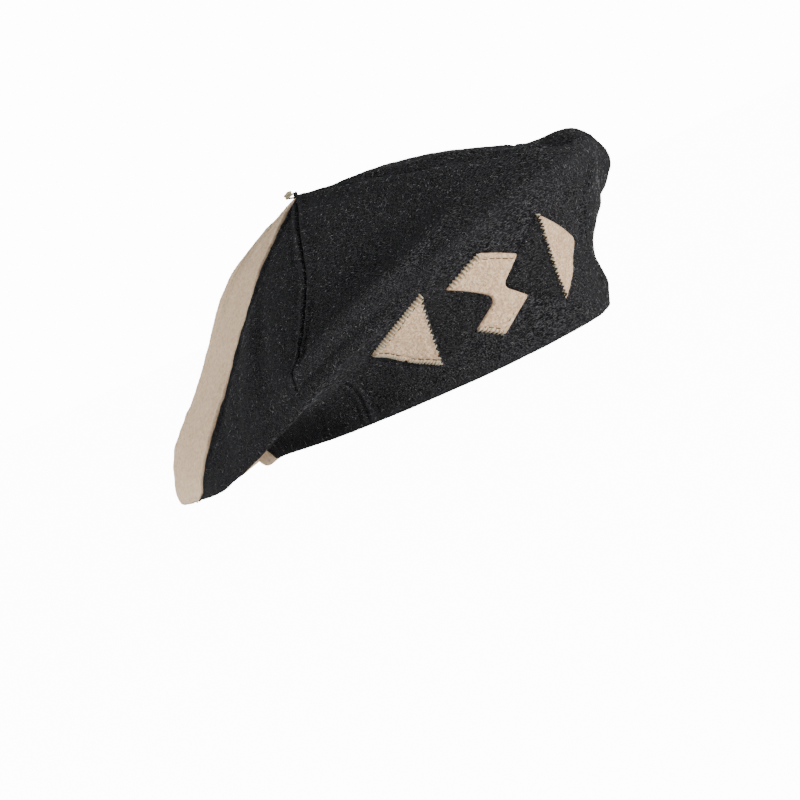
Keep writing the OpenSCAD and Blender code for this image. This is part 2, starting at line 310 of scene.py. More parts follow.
def tube(path, r, sides=6):
    """Vertices and faces of one closed round thread along path, in mm."""
    path = np.asarray(path, float)
    n = len(path)
    ahead = unit(np.gradient(path, axis=0))
    ref = np.array([0.31, 0.17, 0.93])
    side = unit(np.cross(ahead, ref))
    over = np.cross(side, ahead)
    rr = np.full(n, float(r)) if np.isscalar(r) else np.asarray(r, float)
    w = 2 * math.pi * np.arange(sides) / sides
    ring = (
        path[:, None]
        + side[:, None] * (rr[:, None] * np.cos(w))[..., None]
        + over[:, None] * (rr[:, None] * np.sin(w))[..., None]
    ).reshape(-1, 3)
    verts = np.concatenate([ring, path[:1], path[-1:]])
    i, k = np.meshgrid(np.arange(n - 1), np.arange(sides), indexing="ij")
    a = (i * sides + k).ravel()
    b = (i * sides + (k + 1) % sides).ravel()
    quads = np.stack([a, b, b + sides, a + sides], 1)
    k = np.arange(sides)
    first = np.stack([np.full(sides, n * sides), (k + 1) % sides, k], 1)
    t = (n - 1) * sides
    last = np.stack([np.full(sides, n * sides + 1), t + k, t + (k + 1) % sides], 1)
    return verts, quads, np.concatenate([first, last])


def threads(name, paths, r, sides=6):
    """One object of many separate threads. r is a radius or one per path."""
    vs, qs, ts, at = [], [], [], 0
    for i, p in enumerate(paths):
        v, q, t = tube(p, r if np.isscalar(r) else r[i], sides)
        vs.append(v)
        qs.append(q + at)
        ts.append(t + at)
        at += len(v)
    return make_object(name, np.concatenate(vs), [np.concatenate(qs), np.concatenate(ts)])


def scatter(verts, tris, count, seed):
    """Random points on triangles with their normals, even over the area."""
    r = np.random.default_rng(seed)
    a, b, c = (verts[tris[:, i]] for i in range(3))
    cross = np.cross(b - a, c - a)
    area = np.linalg.norm(cross, axis=1)
    k = np.searchsorted(np.cumsum(area) / area.sum(), r.random(count))
    u, w = r.random((2, count, 1))
    flip = u + w > 1
    u, w = np.where(flip, 1 - u, u), np.where(flip, 1 - w, w)
    return a[k] + (b - a)[k] * u + (c - a)[k] * w, unit(cross[k])


def fibres(name, spots, length, radius, lift, stray, seed):
    """Loose wool fibres lying on the cloth; a few stand off it."""
    r = np.random.default_rng(seed)
    p, up = spots
    n = len(p)
    along = unit(np.cross(up, r.normal(size=(n, 3))))
    side = np.cross(along, up)
    size = length * r.uniform(0.5, 1.4, (n, 1))
    off = np.where(r.random((n, 1)) < stray, r.uniform(0.25, 1.0, (n, 1)), 0.0)
    curl = r.normal(0, 0.14, (n, 2, 1)) * size[:, None]
    high = lift * r.uniform(0.5, 1.5, (n, 1))
    start = p - along * size / 2 - up * 0.08
    one = p - along * size / 6 + side * curl[:, 0] + up * (high + 0.3 * off)
    two = p + along * size / 6 + side * curl[:, 1] + up * (high + 0.75 * off)
    stop = p + along * size / 2 * (1 - 0.4 * (off > 0)) + up * (1.2 * off - 0.05)
    w = 2 * math.pi * np.arange(3) / 3
    ring = radius * (up[:, None] * np.cos(w)[:, None] + side[:, None] * -np.sin(w)[:, None])
    rings = [start[:, None], one[:, None] + ring, two[:, None] + ring, stop[:, None]]
    verts = np.concatenate(rings, axis=1)
    shape = [[0, 2, 1], [0, 3, 2], [0, 1, 3]]
    for k in range(3):
        j = (k + 1) % 3
        shape += [[1 + k, 1 + j, 4 + j], [1 + k, 4 + j, 4 + k], [4 + k, 4 + j, 7]]
    tris = (np.array(shape)[None] + 8 * np.arange(n)[:, None, None]).reshape(-1, 3)
    shade = np.repeat(r.random(n) ** 2.2, 8)
    return make_object(name, verts.reshape(-1, 3), [tris], data={"shade": shade})


def done(piece, slot, *nodes, material=None):
    """Fix a piece to the hat's body, hide the nodes it replaces and give it its material; slot is not
    used.
    """
    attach(piece, "root")
    if nodes:
        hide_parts(*nodes)
    if material is not None:
        piece.data.materials.clear()
        piece.data.materials.append(material)
    return piece


# ---------------------------------------------------------------- materials
class Nodes:
    """A short way to write a node tree."""

    def __init__(self, name):
        self.mat = bpy.data.materials.new(name)
        self.mat.use_nodes = True
        self.tree = self.mat.node_tree
        self.tree.nodes.clear()
        self.out = self.add("ShaderNodeOutputMaterial")
        self.bsdf = self.add("ShaderNodeBsdfPrincipled")
        self.link(self.bsdf.outputs[0], self.out.inputs["Surface"])
        self.coords = self.add("ShaderNodeTexCoord")

    def add(self, kind, **inputs):
        node = self.tree.nodes.new(kind)
        for k, v in inputs.items():
            setattr(node, k, v)
        return node

    def link(self, a, b):
        self.tree.links.new(a, b)

    def fill(self, socket, value):
        if hasattr(value, "is_output"):
            self.link(value, socket)
        else:
            socket.default_value = value

    def place(self, scale, turn=(0, 0, 0), source="Object"):
        node = self.add("ShaderNodeMapping")
        self.link(self.coords.outputs[source], node.inputs["Vector"])
        node.inputs["Scale"].default_value = scale
        node.inputs["Rotation"].default_value = turn
        return node.outputs[0]

    def noise(self, vector, scale, detail=2.0, rough=0.5, out="Fac"):
        node = self.add("ShaderNodeTexNoise")
        self.link(vector, node.inputs["Vector"])
        node.inputs["Scale"].default_value = scale
        node.inputs["Detail"].default_value = detail
        node.inputs["Roughness"].default_value = rough
        return node.outputs[out]

    def math(self, op, a, b=0.5, clamp=False):
        node = self.add("ShaderNodeMath", operation=op, use_clamp=clamp)
        self.fill(node.inputs[0], a)
        self.fill(node.inputs[1], b)
        return node.outputs[0]

    def ramp(self, fac, lo, hi, to_lo=0.0, to_hi=1.0):
        node = self.add("ShaderNodeMapRange", interpolation_type="SMOOTHSTEP")
        self.link(fac, node.inputs["Value"])
        node.inputs["From Min"].default_value = lo
        node.inputs["From Max"].default_value = hi
        node.inputs["To Min"].default_value = to_lo
        node.inputs["To Max"].default_value = to_hi
        return node.outputs[0]

    def mix(self, fac, a, b, blend="MIX"):
        node = self.add("ShaderNodeMix", data_type="RGBA", blend_type=blend)
        self.fill(node.inputs["Factor"], fac)
        self.fill(node.inputs[6], a)
        self.fill(node.inputs[7], b)
        return node.outputs[2]

    def attribute(self, name):
        return self.add("ShaderNodeAttribute", attribute_name=name).outputs["Fac"]

    def bump(self, height, distance, strength=1.0, under=None):
        node = self.add("ShaderNodeBump")
        node.inputs["Strength"].default_value = strength
        node.inputs["Distance"].default_value = distance
        self.link(height, node.inputs["Height"])
        if under is not None:
            self.link(under, node.inputs["Normal"])
        return node.outputs[0]

    def streaks(self, count, long_size, thin_size, lo, hi):
        """Short fibres lying every way: thresholded noise, stretched and turned."""
        total = None
        for k in range(count):
            turn = (0.7 * k + 0.2, 1.1 * k, 2.0 * k * 0.61 + 0.4)
            v = self.place((1 / long_size, 1 / thin_size, 1 / thin_size), turn)
            f = self.ramp(self.noise(v, 1.0, 1.0, 0.4), lo, hi)
            total = f if total is None else self.math("MAXIMUM", total, f)
        return total

    def surface(
        self, colour, normal, rough, specular, sheen=0.0, sheen_rough=0.5, tint=(1, 1, 1, 1)
    ):
        s = self.bsdf.inputs
        self.fill(s["Base Color"], colour)
        self.link(normal, s["Normal"])
        self.fill(s["Roughness"], rough)
        s["Specular IOR Level"].default_value = specular
        s["Sheen Weight"].default_value = sheen
        s["Sheen Roughness"].default_value = sheen_rough
        s["Sheen Tint"].default_value = tint
        return self.mat


def rgb(r, g, b):
    return (r, g, b, 1.0)


def wool(name, deep, mid, light, fleck, fleck_amount, sheen, tint, pebble=0.0, seams=0.0):
    """Boiled wool: matted fibres in three tones, loose pale hairs, soft bloom."""
    n = Nodes(name)
    obj = n.coords.outputs["Object"]
    clump = n.noise(obj, 560.0, 2.0, 0.65)
    grit = n.noise(obj, 1500.0, 2.0, 0.7)
    broad = n.noise(obj, 55.0, 2.0, 0.5)
    tone = n.math("ADD", n.math("MULTIPLY", clump, 0.45), n.math("MULTIPLY", grit, 0.55))
    colour = n.mix(n.ramp(tone, 0.38, 0.58), deep, mid)
    colour = n.mix(n.ramp(tone, 0.52, 0.68, 0.0, 0.9), colour, light)
    hairs = n.streaks(4, 0.0021, 0.00032, 0.60, 0.70)
    colour = n.mix(n.math("MULTIPLY", hairs, fleck_amount), colour, fleck)
    colour = n.mix(n.ramp(broad, 0.35, 0.68, 0.0, 0.16), colour, light)
    # seams is the strength of a painted shade: within about a millimetre of each seam line, in the
    # groove of the welt, the colour turns to the deep tone
    if seams:
        seam = n.attribute("seam")
        colour = n.mix(n.ramp(seam, 0.2, 1.0, seams, 0.0), colour, deep)
        # lighter where the crown edge fold and the hem rub, which is wear, and on the ridges of each
        # seam welt, which is a painted highlight
        worn = n.attribute("worn")
        colour = n.mix(n.math("MULTIPLY", worn, 0.4), colour, light)
    height = n.math("ADD", n.math("MULTIPLY", clump, 1.0), n.math("MULTIPLY", hairs, 0.35))
    normal = n.bump(height, 0.00035, 0.75)
    normal = n.bump(grit, 0.00018, 0.7, normal)
    if pebble:
        # the low parts of the pebble bump are turned to the deep tone: painted shade in the pits
        cells = n.noise(obj, 820.0, 1.0, 0.4)
        colour = n.mix(n.ramp(cells, 0.36, 0.56, 0.6, 0.0), colour, deep)
        normal = n.bump(cells, 0.0006, pebble, normal)
    return n.surface(colour, normal, 0.95, 0.08, sheen, 0.45, tint)


def fibre(name, dark, light):
    """Single matt wool fibres, each with its own shade."""
    n = Nodes(name)
    colour = n.mix(n.attribute("shade"), dark, light)
    normal = n.bump(n.noise(n.coords.outputs["Object"], 4000.0, 1.0, 0.5), 0.00002, 0.4)
    return n.surface(colour, normal, 0.8, 0.2)


# seams sets the painted shade in the seam grooves: faint on the black wool, strong on the cream
black_wool = wool(
    "black_wool", rgb(0.0006, 0.0006, 0.0008), rgb(0.0028, 0.0028, 0.0033),
    rgb(0.022, 0.0225, 0.025), rgb(0.14, 0.14, 0.15), 0.42, 0.03, rgb(0.5, 0.53, 0.58),
    seams=0.12,
)
cream_wool = wool(
    "cream_wool", rgb(0.60, 0.40, 0.24), rgb(0.80, 0.59, 0.39), rgb(0.88, 0.70, 0.50),
    rgb(0.93, 0.80, 0.63), 0.4, 0.10, rgb(1.0, 0.92, 0.82), seams=0.9,
)
cream_patch = wool(
    "cream_patch_felt", rgb(0.50, 0.30, 0.165), rgb(0.80, 0.57, 0.36), rgb(0.93, 0.74, 0.53),
    rgb(0.96, 0.84, 0.67), 0.4, 0.10, rgb(1.0, 0.92, 0.82), pebble=1.0,
)
black_patch = wool(
    "black_patch_felt", rgb(0.0012, 0.0012, 0.0014), rgb(0.004, 0.004, 0.0045),
    rgb(0.022, 0.022, 0.024), rgb(0.10, 0.10, 0.105), 0.4, 0.035, rgb(0.5, 0.52, 0.56),
)


def thread(name, dark, light, rough=0.7):
    """Twisted sewing thread."""
    n = Nodes(name)
    obj = n.coords.outputs["Object"]
    ply = n.add("ShaderNodeTexWave", wave_type="BANDS", bands_direction="DIAGONAL")
    n.link(obj, ply.inputs["Vector"])
    ply.inputs["Scale"].default_value = 900.0
    ply.inputs["Distortion"].default_value = 1.5
    fuzz = n.noise(obj, 2600.0, 2.0, 0.6)
    colour = n.mix(n.math("MULTIPLY", ply.outputs["Fac"], fuzz), dark, light)
    normal = n.bump(ply.outputs["Fac"], 0.00008, 0.8)
    normal = n.bump(fuzz, 0.00006, 0.6, normal)
    return n.surface(colour, normal, rough, 0.35, 0.2, 0.4, light)


cream_thread = thread("cream_thread", rgb(0.40, 0.33, 0.22), rgb(0.78, 0.70, 0.56))
olive_thread = thread("olive_thread", rgb(0.22, 0.20, 0.12), rgb(0.56, 0.52, 0.38))
black_thread = thread("black_thread", rgb(0.004, 0.004, 0.004), rgb(0.03, 0.03, 0.032))
brown_thread = thread("brown_thread", rgb(0.045, 0.028, 0.016), rgb(0.14, 0.095, 0.06))


def satin(name, dark, light):
    """Lining satin: fine twill lines, long soft sheen and faint creases."""
    n = Nodes(name)
    uv = n.coords.outputs["UV"]
    wave = n.add("ShaderNodeTexWave", wave_type="BANDS", bands_direction="DIAGONAL")
    n.link(uv, wave.inputs["Vector"])
    wave.inputs["Scale"].default_value = 520.0
    wave.inputs["Distortion"].default_value = 0.3
    slub = n.noise(n.place((900, 60, 900), source="UV"), 1.0, 2.0, 0.6)
    creases = n.noise(n.coords.outputs["Object"], 45.0, 3.0, 0.55)
    colour = n.mix(n.math("MULTIPLY", slub, wave.outputs["Fac"]), dark, light)
    # lighter on the high parts of the crease bump: a painted sheen on the crests
    colour = n.mix(n.ramp(creases, 0.4, 0.7, 0.0, 0.25), colour, light)
    normal = n.bump(wave.outputs["Fac"], 0.00004, 0.5)
    normal = n.bump(creases, 0.0012, 0.6, normal)
    rough = n.ramp(slub, 0.3, 0.7, 0.34, 0.48)
    mat = n.surface(colour, normal, rough, 0.5, 0.1, 0.3, light)
    n.bsdf.inputs["Anisotropic"].default_value = 0.5
    return mat


lining_satin = satin("lining_satin", rgb(0.008, 0.008, 0.009), rgb(0.028, 0.028, 0.032))


def grosgrain(name, dark, light):
    """Ribbed ribbon: ribs 0.9 mm apart along its length, finer threads across."""
    n = Nodes(name)
    uv = n.coords.outputs["UV"]
    rib = n.add("ShaderNodeTexWave", wave_type="BANDS", bands_direction="X", wave_profile="SIN")
    n.link(uv, rib.inputs["Vector"])
    rib.inputs["Scale"].default_value = 350.0
    rib.inputs["Distortion"].default_value = 0.15
    yarn = n.add("ShaderNodeTexWave", wave_type="BANDS", bands_direction="Y", wave_profile="SIN")
    n.link(uv, yarn.inputs["Vector"])
    yarn.inputs["Scale"].default_value = 900.0
    dust = n.noise(n.coords.outputs["Object"], 300.0, 3.0, 0.6)
    colour = n.mix(rib.outputs["Fac"], dark, light)
    colour = n.mix(n.ramp(dust, 0.5, 0.75, 0.0, 0.3), colour, light)
    normal = n.bump(rib.outputs["Fac"], 0.0003, 0.9)
    normal = n.bump(yarn.outputs["Fac"], 0.00006, 0.5, normal)
    return n.surface(colour, normal, 0.6, 0.4, 0.15, 0.35, light)


ribbon_cloth = grosgrain("grosgrain", rgb(0.006, 0.006, 0.007), rgb(0.022, 0.022, 0.025))

# ------------------------------------------------------------- camera first
AZIMUTH, ELEVATION, ROLL, DISTANCE = -35.0, 4.5, 24.4, 1.6
LENS, SENSOR = 151.2, 36.0
AIM_ACROSS, AIM_OVER = -0.0151, -0.00838  # metres from the origin, in the picture


def camera():
    a, e, t = math.radians(AZIMUTH), math.radians(ELEVATION), math.radians(ROLL)
    back = Vector((math.sin(a) * math.cos(e), -math.cos(a) * math.cos(e), math.sin(e)))
    right = Vector((math.cos(a), math.sin(a), 0))
    up = back.cross(right)
    across = right * math.cos(t) - up * math.sin(t)
    over = right * math.sin(t) + up * math.cos(t)
    aim = across * AIM_ACROSS + over * AIM_OVER
    data = bpy.data.cameras.new("camera")
    data.sensor_width = SENSOR
    data.lens = LENS
    data.clip_end = 60.0
    cam = bpy.data.objects.new("camera", data)
    turn = Matrix((across, over, back)).transposed()
    cam.matrix_world = Matrix.Translation(aim + back * DISTANCE) @ turn.to_4x4()
    bpy.context.scene.collection.objects.link(cam)
    bpy.context.scene.camera = cam
    return across, over, back


across, over, back = camera()

# -------------------------------------------------------------- wool gores
FINE = 1.0


def seam_columns(width, step):
    """Distances from the left seam in mm: close together by both seams."""
    close = np.array([0, 0.35, 0.7, 1.05, 1.45, 1.9, 2.4, 3.0, 3.7, 4.6, 5.8])
    middle = np.linspace(7.2, width - 7.2, max(4, int((width - 14.4) / step)))
    return np.concatenate([close, middle, width - close[::-1]])


def net(a, b, v, columns, widest):
    """Angles and distances from both seams for each row of a gore."""
    probe = np.linspace(0, 1, 41)
    pa, pb = seam_at(a, v), seam_at(b, v)
    pb = np.where(pb > pa, pb, pb + 360)
    angles = pa[:, None] + (pb - pa)[:, None] * probe
    pts = plain(angles, v[:, None])
    run = run_along(pts, 1)
    ang, dist, width = [], [], run[:, -1]
    for i in range(len(v)):
        w = width[i]
        k = min(1.0, w / 26.0)
        close = columns < 6
        far = columns > widest - 6
        d = np.where(close, columns * k, np.where(far, w - (widest - columns) * k, 0))
        lo, hi = 5.8 * k, w - 5.8 * k
        mid = ~(close | far)
        sm = (columns[mid] - 5.8) / (widest - 11.6)
        d[mid] = lo + (hi - lo) * sm
        ang.append(np.interp(d, run[i], angles[i]))
        dist.append(np.minimum(d, w - d))
    return np.array(ang), np.array(dist), run


def gore_rows(count):
    s = np.linspace(0, 1, count)
    v = 2 * s + 0.15 * np.sin(2 * math.pi * s)
    return v / v[-1] * TOP_ROW


def welt(d, along):
    """Pressed-open seam: a groove between two soft ridges, slightly puckered."""
    pucker = 0.16 * np.sin(along / 1.35 + 1.7 * np.sin(along / 11.0)) * bump(d, 2.6, 1.8)
    ridge, groove, dip = 0.75 * bump(d, 1.9, 1.05), 0.6 * bump(d, 0, 0.5), 0.35 * bump(d, 5.0, 2.0)
    return ridge - groove - dip + pucker


FUZZ = {"wool_black": [], "wool_cream": [], "patch_cream": [], "patch_black": []}


def grid_tris(n, m):
    k = (np.arange(n - 1)[:, None] * m + np.arange(m - 1)).ravel()
    return np.concatenate([np.stack([k, k + 1, k + m + 1], 1), np.stack([k, k + m + 1, k + m], 1)])


def gore(name, a, b, material, slot):
    v0 = gore_rows(int(190 * FINE))
    start, stop = seam_at(a, np.array([1.0]))[0], seam_at(b, np.array([1.0]))[0] % 360
    if stop < start:
        stop += 360
    widest = np.linalg.norm(
        np.diff(plain(np.linspace(start, stop, 60), np.ones(60)), axis=0), axis=1
    ).sum()
    columns = seam_columns(widest, 1.5 / FINE)
    r = HEM_THICK / 2
    phi = np.radians(np.array([2, 22, 45, 68]))
    roll_z = r * (1 - np.cos(phi))
    v_roll = roll_z / (3 * BAND_RISE)
    v = np.concatenate([v_roll, v0[v0 > r / (3 * BAND_RISE)]])
    ang, dist, run = net(a, b, v, columns, widest)
    vv = np.repeat(v[:, None], len(columns), axis=1)
    flat = plain(ang, vv)
    length = run_along(flat, 0)
    fade = clip((1.975 - vv) * 14)
    w = welt(dist, length) * fade * (0.45 + 0.55 * ease(clip(vv * 1.25 - 0.1)))
    w = w * (1 - 0.7 * bump(vv, 0.93, 0.08))
    n_roll = len(phi)
    roll_out = np.zeros(len(v))
    roll_out[:n_roll] = r - r * np.sin(phi)
    roll_in = np.full(len(v), 0.0)
    roll_in[:n_roll] = r * np.sin(phi) - r
    z = flat[..., 2]
    double = np.where(vv < 0.34, clip((HEM_TURN + 1 - z) / 1.5), 0)
    thick = WOOL + (HEM_THICK - WOOL) * ease(double)
    outer = cloth(ang, vv, roll_out[:, None] + 0 * ang, w * clip(vv * 60))
    inner = cloth(ang, vv, thick + roll_in[:, None], 0.35 * w * (dist > 1.2))
    uv = np.stack([run_along(flat, 1), length], axis=-1)
    # the next mask marks wear on the crown edge fold and the hem, and a painted highlight on the welt
    # ridges about 2 mm either side of each seam
    worn = bump(vv, 1.0, 0.10) * 0.6 + 0.8 * bump(dist, 2.1, 0.9) + 0.8 * bump(vv, 0.0, 0.03)
    FUZZ[slot].append((outer.reshape(-1, 3), grid_tris(*outer.shape[:2])))
    # the seam value lets the wool material paint shade into the welt groove next to each seam line
    data = {"seam": dist + 2.2 * (1 - fade) + 0.5 * (vv < 0.9), "worn": clip(worn)}
    piece = shell(name + "_cloth", outer, inner, uv, data)
    done(piece, slot, name, material=material)
    return piece


B, C = (black_wool, "wool_black"), (cream_wool, "wool_cream")
gore("gore_front", SEAM_RIGHT, SEAM_LEFT_FRONT, *B)
gore("gore_right_side", SEAM_RIGHT_BACK, SEAM_RIGHT, *B)
gore("gore_right_back", SEAM_BACK, SEAM_RIGHT_BACK, *C)
gore("gore_back", SEAM_LEFT_BACK, SEAM_BACK, *C)
gore("gore_left_back", SEAM_LEFT_SIDE, SEAM_LEFT_BACK, *C)
gore("gore_left_side", SEAM_LEFT_FRONT, SEAM_LEFT_SIDE, *B)


# ------------------------------------------------------------------ lining
def lining(name, a, b):
    v = gore_rows(int(110 * FINE))
    v = v[v > 0.16]
    v[-1] -= 0.006
    middle = np.linspace(0.055, 0.945, int(60 * FINE))
    s = np.concatenate([[0, 0.012, 0.03], middle, [0.97, 0.988, 1]])
    pa, pb = seam_at(a, v), seam_at(b, v)
    pb = np.where(pb > pa, pb, pb + 360)
    ang = pa[:, None] + (pb - pa)[:, None] * s
    vv = np.repeat(v[:, None], len(s), axis=1)
    flat = plain(ang, vv)
    d = np.minimum(s, 1 - s)[None] * (pb - pa)[:, None] * 1.9
    slack = 0.5 + 0.5 * waves(flat, 26, 31)
    slack = slack * bump(vv, 1.25, 0.75) * clip(d / 8) * clip((1.9 - vv) * 6)
    pleat = 0.5 * (1 + np.sin(ang * 1.9 + 2 * np.sin(ang * 0.31))) * bump(vv, 0.25, 0.12)
    free = clip((np.abs(vv - 0.86) - 0.3) / 0.25)
    loose = 1.5 * clip(slack, 0, 1.4) + 0.9 * pleat * clip(d / 4) + 0.5 * bump(d, 0, 1.2)
    loose = free * loose
    outer = cloth(ang, vv, LINING_OUT + loose)
    inner = cloth(ang, vv, LINING_OUT + LINING + loose)
    # moved in where the crown bends most tightly; below the bend it still shows
    # through the wool of the back gore
    bridge = 6.0 * near(ang, 91, 18) * bump(vv, 0.9, 0.16)
    inward = unit(flat * [-1, -1, 0]) + [0, 0, 0.45]
    outer, inner = outer + inward * bridge[..., None], inner + inward * bridge[..., None]
    u, length = run_along(flat, 1), run_along(flat, 0)
    piece = shell(name + "_cloth", outer, inner, np.stack([u, length], -1))
    done(piece, "lining_black", name, material=lining_satin)


lining("lining_front", SEAM_RIGHT, SEAM_LEFT_FRONT)
lining("lining_right_side", SEAM_RIGHT_BACK, SEAM_RIGHT)
lining("lining_right_back", SEAM_BACK, SEAM_RIGHT_BACK)
lining("lining_back", SEAM_LEFT_BACK, SEAM_BACK)
lining("lining_left_back", SEAM_LEFT_SIDE, SEAM_LEFT_BACK)
lining("lining_left_side", SEAM_LEFT_FRONT, SEAM_LEFT_SIDE)


# --------------------------------------------------------------- sweatband
def band_point(a, z, deep):
    r = oval(a, OPENING_L, OPENING_W) - deep - 0.02 * z
    return stack(r * cos(a), r * sin(a), z)


def ribbon(name, start, stop, deep, z0, z1, node, cols, ripple):
    a = np.linspace(start, stop, cols)
    middle = np.linspace(z0 + 1.5, z1 - 1.5, 12)
    z = np.concatenate([[z0, z0 + 0.25, z0 + 0.7], middle, [z1 - 0.7, z1 - 0.25, z1]])
    aa, zz = np.meshgrid(a, z)
    s = (zz - z0) / (z1 - z0)
    edge = np.where((zz < z0 + 0.2) | (zz > z1 - 0.2), 0.28, 0.0)
    bow = ripple * (0.55 * np.sin(aa / 5.1 + 1.3 * np.sin(aa / 17)) + 0.35 * np.sin(aa / 2.3)) * s
    notch = 0.12 * np.sin(aa * 3.6) * ((zz < z0 + 0.2) * -1 + (zz > z1 - 0.2))
    outer = band_point(aa, zz + notch, deep + edge + bow)
    inner = band_point(aa, zz + notch, deep + RIBBON_T - edge + bow)
    u = np.radians(aa) * 90.0
    piece = shell(name, outer, inner, np.stack([u, zz], -1))
    done(piece, "ribbon_black", node, material=ribbon_cloth)
    return piece


band = ribbon(
    "sweatband_ribbon", 91, 449, HEM_THICK + 0.6, 1.2, RIBBON_H, "sweatband", int(620 * FINE), 1.0
)
keeper = ribbon(
    "band_keeper_ribbon", 84.5, 95.5, HEM_THICK + 0.9 + RIBBON_T, 2.0, RIBBON_H - 0.6,
    "band_keeper", 40, 0.0,
)


def band_stitches():
    paths = []
    for a in np.arange(93.5, 446.5, 3.1):
        k = np.linspace(0, 1, 6)
        ang = a + 1.5 * k
        z = 3.0 + 0.15 * np.sin(a) + 0 * k
        deep = HEM_THICK + 0.62 + RIBBON_T + 0.22 * np.sin(math.pi * k)
        paths.append(band_point(ang, z, deep))
    return done(threads("band_stitches", paths, 0.2), "ribbon_black", material=black_thread)


band_stitches()

# ----------------------------------------------------------------- patches
MID_ANGLE, MM_PER_DEGREE = 259.0, 1.86
# heights up the cloth in mm, at each degree and each v of the front gore
ROW_A = np.arange(216.0, 306.0, 1.0)
ROW_V = np.linspace(0, 1.4, 281)
ROW_UP = run_along(plain(ROW_A[:, None], ROW_V[None]), 1)


def to_flat(corners):
    """[angle, height] pairs to flat millimetres across and up the cloth."""
    out = []
    for a, v in corners:
        row = np.array([np.interp(v, ROW_V, up) for up in ROW_UP])
        out.append(((a - MID_ANGLE) * MM_PER_DEGREE, np.interp(a, ROW_A, row)))
    return np.array(out)


def on_cloth(xy, height):
    """Points at flat millimetres xy, standing height above the front gore."""
    xy = np.asarray(xy, float)
    a = MID_ANGLE + xy[..., 0] / MM_PER_DEGREE
    i = np.clip(np.floor(a - ROW_A[0]).astype(int), 0, len(ROW_A) - 2)
    f = a - ROW_A[i]
    flat_i, flat_y = i.ravel(), xy[..., 1].ravel()
    lo = np.array([np.interp(y, ROW_UP[k], ROW_V) for k, y in zip(flat_i, flat_y)])
    hi = np.array([np.interp(y, ROW_UP[k + 1], ROW_V) for k, y in zip(flat_i, flat_y)])
    v = (lo + (hi - lo) * f.ravel()).reshape(a.shape)
    return cloth(a, v, -np.asarray(height, float) + 0 * a)


def outline(corners, radii, step=0.7):
    """A closed outline with rounded corners; returns points and edge numbers."""
    pts, edges = [], []
    n = len(corners)
    ends = []
    for i in range(n):
        p, prev, nxt = corners[i], corners[i - 1], corners[(i + 1) % n]
        back_dir, on_dir = unit(prev - p), unit(nxt - p)
        r = min(radii[i], 0.45 * np.linalg.norm(prev - p), 0.45 * np.linalg.norm(nxt - p))
        ends.append((p + back_dir * r, p, p + on_dir * r))
    for i in range(n):
        a, p, b = ends[i]
        for t in np.linspace(0, 1, max(7, int(np.linalg.norm(b - a) / step) + 3)):
            pts.append((1 - t) ** 2 * a + 2 * (1 - t) * t * p + t * t * b)
            edges.append(i - 1 if t < 0.5 else i)
        stop = ends[(i + 1) % n][0]
        count = max(2, int(np.linalg.norm(stop - b) / step))
        for t in np.linspace(0, 1, count + 1)[1:-1]:
            pts.append(b + (stop - b) * t)
            edges.append(i)
    return np.array(pts), np.array(edges) % n


def to_border(p, loop):
    """Distance from each point to the outline, the edge met and how far along."""
    a, b = loop, np.roll(loop, -1, axis=0)
    d = b - a
    t = clip(((p[:, None] - a) * d).sum(-1) / np.maximum((d * d).sum(-1), 1e-9))
    q = a + d * t[..., None]
    gap = np.linalg.norm(p[:, None] - q, axis=-1)
    k = gap.argmin(1)
    return gap[np.arange(len(p)), k], k, t[np.arange(len(p)), k]


def inside(p, loop):
    a, b = loop, np.roll(loop, -1, axis=0)
    crosses = (a[:, 1] > p[:, None, 1]) != (b[:, 1] > p[:, None, 1])
    tall = np.where(b[:, 1] == a[:, 1], 1e-9, b[:, 1] - a[:, 1])
    x = a[:, 0] + (p[:, None, 1] - a[:, 1]) * (b[:, 0] - a[:, 0]) / tall
    return (crosses & (p[:, None, 0] < x)).sum(1) % 2 == 1


def patch(name, node, slot, material, corners, radii, thick, channel=(), lift=0.12):
    """A felt patch: pillowed edges, with a stitched channel along some edges."""
    loop, edges = outline(to_flat(corners), radii)
    if (loop[:, 0] * np.roll(loop[:, 1], -1) - np.roll(loop[:, 0], -1) * loop[:, 1]).sum() < 0:
        loop, edges = loop[::-1], np.roll(edges[::-1], -1)
    step = 0.6 / FINE
    lo, hi = loop.min(0), loop.max(0)
    gx, gy = np.meshgrid(np.arange(lo[0], hi[0], step), np.arange(lo[1], hi[1], step))
    gx = gx + (np.arange(gx.shape[0]) % 2)[:, None] * step / 2
    p = np.stack([gx.ravel(), gy.ravel()], 1)
    p = p[inside(p, loop)]
    p = p[to_border(p, loop)[0] > 0.45]
    n = len(loop)
    spots = [Vector(q) for q in np.concatenate([loop, p])]
    border = [(i, (i + 1) % n) for i in range(n)]
    found = geometry.delaunay_2d_cdt(spots, border, [list(range(n))], 1, 1e-6)
    pts = np.array([tuple(q) for q in found[0]])
    tris = np.array([f for f in found[2] if len(f) == 3])
    d, k, _ = to_border(pts, loop)
    e = edges[k]
    rim = d < 0.05
    rise = thick * np.sqrt(np.maximum(0, 1 - (1 - clip(d / 1.1)) ** 2))
    for c in channel:
        rise = rise - 0.55 * bump(d, 2.3, 0.5) * (e == c)
    level = np.c_[pts, 0 * pts[:, :1]]
    rise = rise + 0.05 * waves(level, 5.0, 5) + 0.07 * waves(level, 2.2, 6, 14) * clip(d / 1.2)
    top = on_cloth(pts, lift + 0.25 * thick * rim + np.where(rim, 0, rise))
    under = on_cloth(pts, np.full(len(pts), -0.25))
    count = len(pts)
    # walls between the rim of the top and of the underside
    seen = {}
    for t in tris:
        for u, w in ((t[0], t[1]), (t[1], t[2]), (t[2], t[0])):
            seen[(u, w)] = True
    walls = [(w, u, u + count, w + count) for (u, w) in seen if (w, u) not in seen]
    faces = [tris, tris[:, ::-1] + count, np.array(walls)]
    FUZZ[slot].append((top, tris))
    piece = make_object(name, np.concatenate([top, under]), faces)
    done(piece, slot, node, material=material)
    return loop, edges


